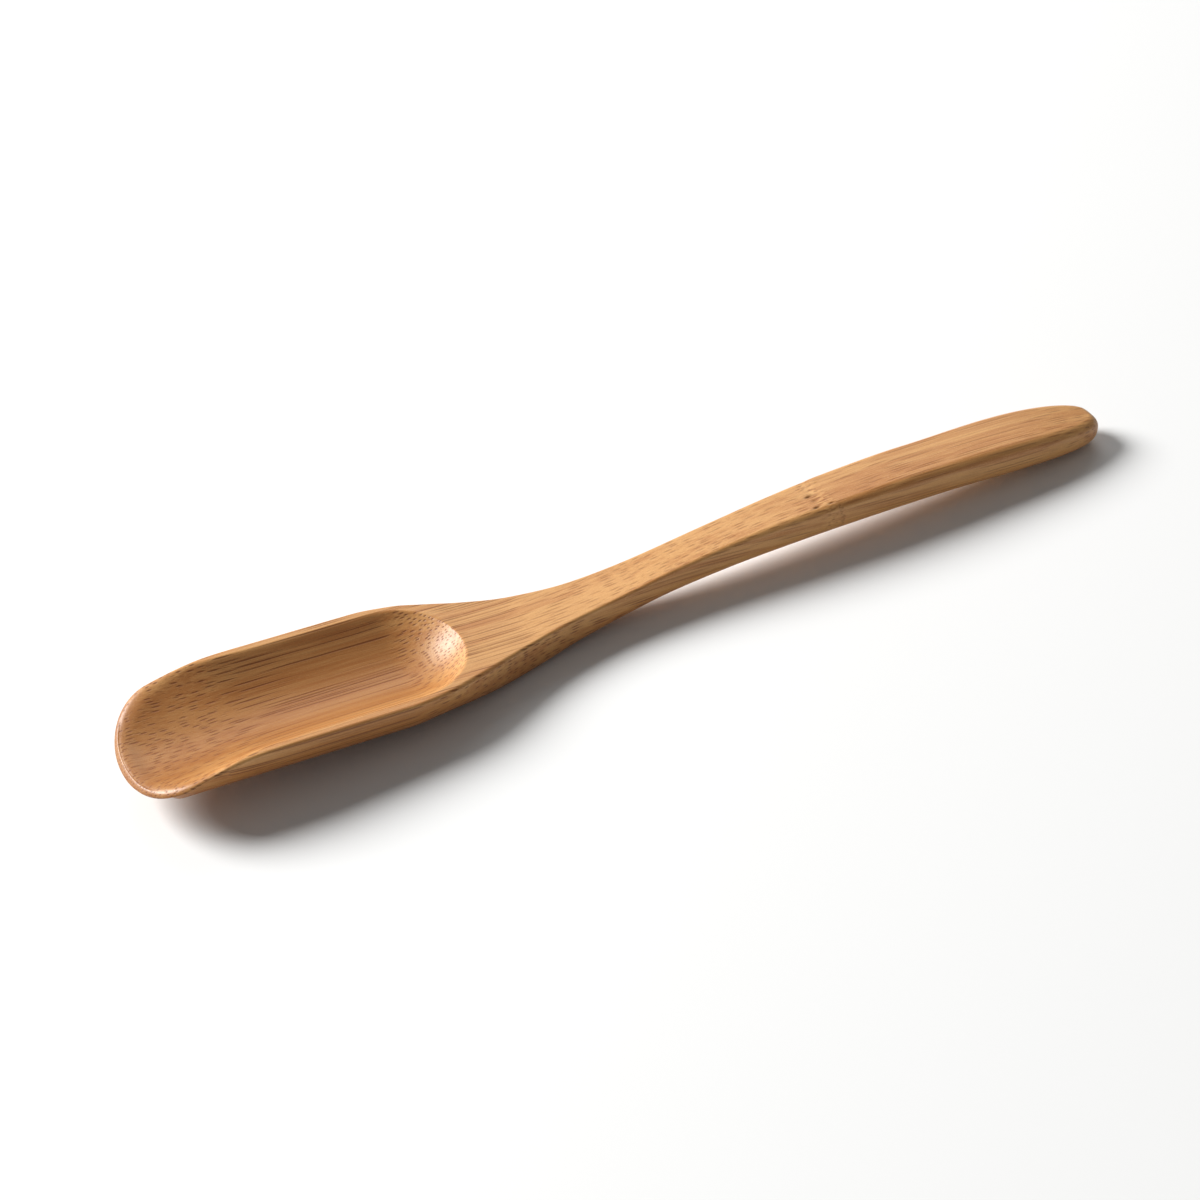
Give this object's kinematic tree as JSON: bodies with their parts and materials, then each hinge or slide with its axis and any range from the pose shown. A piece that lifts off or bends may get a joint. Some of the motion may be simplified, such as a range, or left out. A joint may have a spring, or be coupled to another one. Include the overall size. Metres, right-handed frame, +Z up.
{
  "type": "tea scoop",
  "caption": "Carved bamboo tea scoop with a long shallow round-ended bowl, a waisted neck and a gently arched flat handle, for lifting and pouring loose tea.",
  "frame": {"origin": "centre of the bounding box's bottom, on the table under the scoop as it lies at rest on its heel and its handle's end", "axes": "+X along the scoop from the bowl's tip towards the handle's end, +Y across it, +Z up from the table; the bowl opens upwards"},
  "size_m": [0.179, 0.0262, 0.0111],
  "materials": {
    "bamboo": "satin, oiled"
  },
  "bodies": {
    "root": {"scoop": "bamboo"}
  },
  "joints": []
}
